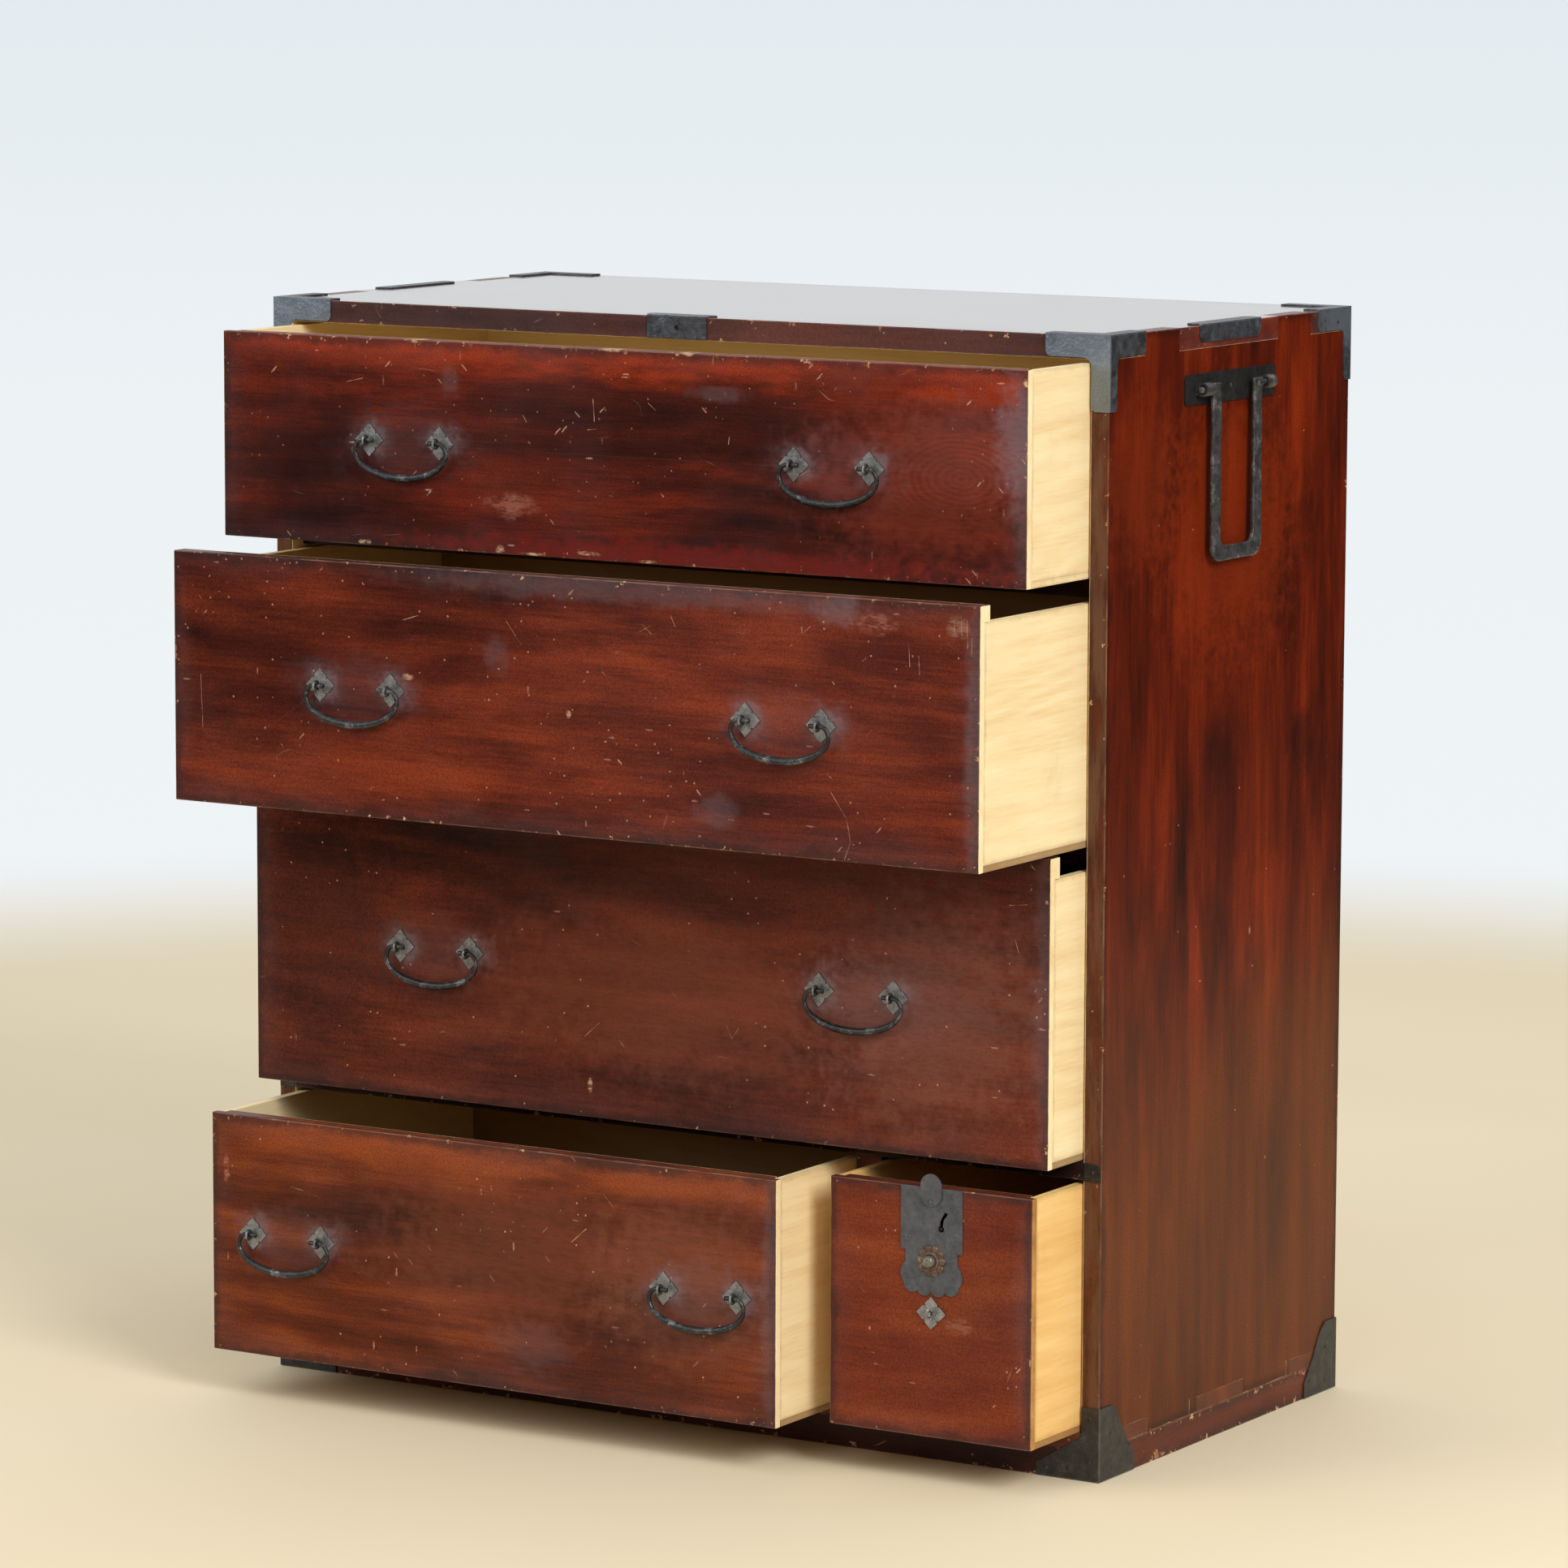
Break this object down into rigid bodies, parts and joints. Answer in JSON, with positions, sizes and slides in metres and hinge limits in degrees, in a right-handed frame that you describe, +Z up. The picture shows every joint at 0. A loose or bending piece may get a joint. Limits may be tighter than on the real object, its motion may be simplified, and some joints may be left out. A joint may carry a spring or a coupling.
{
  "type": "small tansu chest of drawers",
  "caption": "Lacquered wooden tansu chest with box-jointed case, sliding drawers, hanging iron bail pulls, side carrying handles, corner irons and a small lockable drawer",
  "frame": {"origin": "on the floor, under the middle of the case's footprint", "axes": "+X to the right as seen from the front, +Y to the back (drawers open towards -Y), +Z up"},
  "size_m": [0.9294, 0.6663, 1.0315],
  "materials": {
    "lacquer": "worn glossy red-brown lacquer",
    "dark_lacquer": "worn dark brown lacquer",
    "plain_wood": "bare softwood",
    "forged_iron": "blackened, worn",
    "rusty_iron": "browned, rubbed"
  },
  "bodies": {
    "case": {"top_board": "lacquer", "side_left": "lacquer", "side_right": "lacquer", "bottom_board": "dark_lacquer", "back_boards": "plain_wood", "base_long_rails": "dark_lacquer", "base_cross_rails": "dark_lacquer", "shelf_rails": "dark_lacquer", "dust_boards": "plain_wood", "partition": "dark_lacquer", "drawer_stops": "plain_wood", "top_corner_irons": "forged_iron", "bottom_corner_irons": "forged_iron", "edge_straps": "forged_iron", "rail_end_plates": "forged_iron", "handle_plates": "forged_iron", "handle_eyes": "forged_iron"},
    "handle_left": {"handle_left": "forged_iron"},
    "handle_right": {"handle_right": "forged_iron"},
    "drawer_1": {"drawer_1_front": "lacquer", "drawer_1_sides": "plain_wood", "drawer_1_back": "plain_wood", "drawer_1_bottom": "plain_wood", "drawer_1_pull_mounts": "forged_iron"},
    "drawer_2": {"drawer_2_front": "lacquer", "drawer_2_sides": "plain_wood", "drawer_2_back": "plain_wood", "drawer_2_bottom": "plain_wood", "drawer_2_pull_mounts": "forged_iron"},
    "drawer_3": {"drawer_3_front": "lacquer", "drawer_3_sides": "plain_wood", "drawer_3_back": "plain_wood", "drawer_3_bottom": "plain_wood", "drawer_3_pull_mounts": "forged_iron"},
    "drawer_4": {"drawer_4_front": "lacquer", "drawer_4_sides": "plain_wood", "drawer_4_back": "plain_wood", "drawer_4_bottom": "plain_wood", "drawer_4_pull_mounts": "forged_iron"},
    "drawer_5": {"drawer_5_front": "lacquer", "drawer_5_sides": "plain_wood", "drawer_5_back": "plain_wood", "drawer_5_bottom": "plain_wood", "lock_plate": "forged_iron", "key_cover_rivet": "forged_iron", "rosette": "rusty_iron", "rosette_stub": "forged_iron", "cotter_plate": "forged_iron", "lock_case": "forged_iron"},
    "drawer_1_bail_left": {"drawer_1_bail_left": "forged_iron"},
    "drawer_1_bail_right": {"drawer_1_bail_right": "forged_iron"},
    "drawer_2_bail_left": {"drawer_2_bail_left": "forged_iron"},
    "drawer_2_bail_right": {"drawer_2_bail_right": "forged_iron"},
    "drawer_3_bail_left": {"drawer_3_bail_left": "forged_iron"},
    "drawer_3_bail_right": {"drawer_3_bail_right": "forged_iron"},
    "drawer_4_bail_left": {"drawer_4_bail_left": "forged_iron"},
    "drawer_4_bail_right": {"drawer_4_bail_right": "forged_iron"},
    "key_cover": {"key_cover": "forged_iron"},
    "lock_bolt": {"lock_bolt": "forged_iron"}
  },
  "joints": [
    {"name": "drawer_1_slide", "type": "slide", "parent": "case", "child": "drawer_1", "axis": [0, -1, 0], "range_m": [-0.11, 0.24]},
    {"name": "drawer_2_slide", "type": "slide", "parent": "case", "child": "drawer_2", "axis": [0, -1, 0], "range_m": [-0.19, 0.16]},
    {"name": "drawer_3_slide", "type": "slide", "parent": "case", "child": "drawer_3", "axis": [0, -1, 0], "range_m": [-0.063, 0.287]},
    {"name": "drawer_4_slide", "type": "slide", "parent": "case", "child": "drawer_4", "axis": [0, -1, 0], "range_m": [-0.137, 0.213]},
    {"name": "drawer_5_slide", "type": "slide", "parent": "case", "child": "drawer_5", "axis": [0, -1, 0], "range_m": [-0.09, 0.26]},
    {"name": "drawer_1_bail_left_swing", "type": "hinge", "parent": "drawer_1", "child": "drawer_1_bail_left", "pos_m": [-0.226, -0.3485, 0.91275], "axis": [-1, 0, 0], "range_deg": [0, 170]},
    {"name": "drawer_1_bail_right_swing", "type": "hinge", "parent": "drawer_1", "child": "drawer_1_bail_right", "pos_m": [0.232, -0.3485, 0.91275], "axis": [-1, 0, 0], "range_deg": [0, 170]},
    {"name": "drawer_2_bail_left_swing", "type": "hinge", "parent": "drawer_2", "child": "drawer_2_bail_left", "pos_m": [-0.226, -0.4285, 0.6935], "axis": [-1, 0, 0], "range_deg": [0, 170]},
    {"name": "drawer_2_bail_right_swing", "type": "hinge", "parent": "drawer_2", "child": "drawer_2_bail_right", "pos_m": [0.232, -0.4285, 0.6935], "axis": [-1, 0, 0], "range_deg": [0, 170]},
    {"name": "drawer_3_bail_left_swing", "type": "hinge", "parent": "drawer_3", "child": "drawer_3_bail_left", "pos_m": [-0.226, -0.3015, 0.43475], "axis": [-1, 0, 0], "range_deg": [0, 170]},
    {"name": "drawer_3_bail_right_swing", "type": "hinge", "parent": "drawer_3", "child": "drawer_3_bail_right", "pos_m": [0.232, -0.3015, 0.43475], "axis": [-1, 0, 0], "range_deg": [0, 170]},
    {"name": "drawer_4_bail_left_swing", "type": "hinge", "parent": "drawer_4", "child": "drawer_4_bail_left", "pos_m": [-0.3445, -0.3755, 0.16025], "axis": [-1, 0, 0], "range_deg": [0, 170]},
    {"name": "drawer_4_bail_right_swing", "type": "hinge", "parent": "drawer_4", "child": "drawer_4_bail_right", "pos_m": [0.1135, -0.3755, 0.16025], "axis": [-1, 0, 0], "range_deg": [0, 170]},
    {"name": "handle_left_swing", "type": "hinge", "parent": "case", "child": "handle_left", "pos_m": [-0.4584, -0.0065, 0.973], "axis": [0, 1, 0], "range_deg": [0, 175]},
    {"name": "handle_right_swing", "type": "hinge", "parent": "case", "child": "handle_right", "pos_m": [0.4584, -0.0065, 0.973], "axis": [0, -1, 0], "range_deg": [0, 175]},
    {"name": "key_cover_swing", "type": "hinge", "parent": "drawer_5", "child": "key_cover", "pos_m": [0.328, -0.321, 0.259], "axis": [0, 1, 0], "range_deg": [0, 145]},
    {"name": "lock_bolt_lift", "type": "slide", "parent": "drawer_5", "child": "lock_bolt", "axis": [0, 0, 1], "range_m": [0, 0.008]}
  ]
}
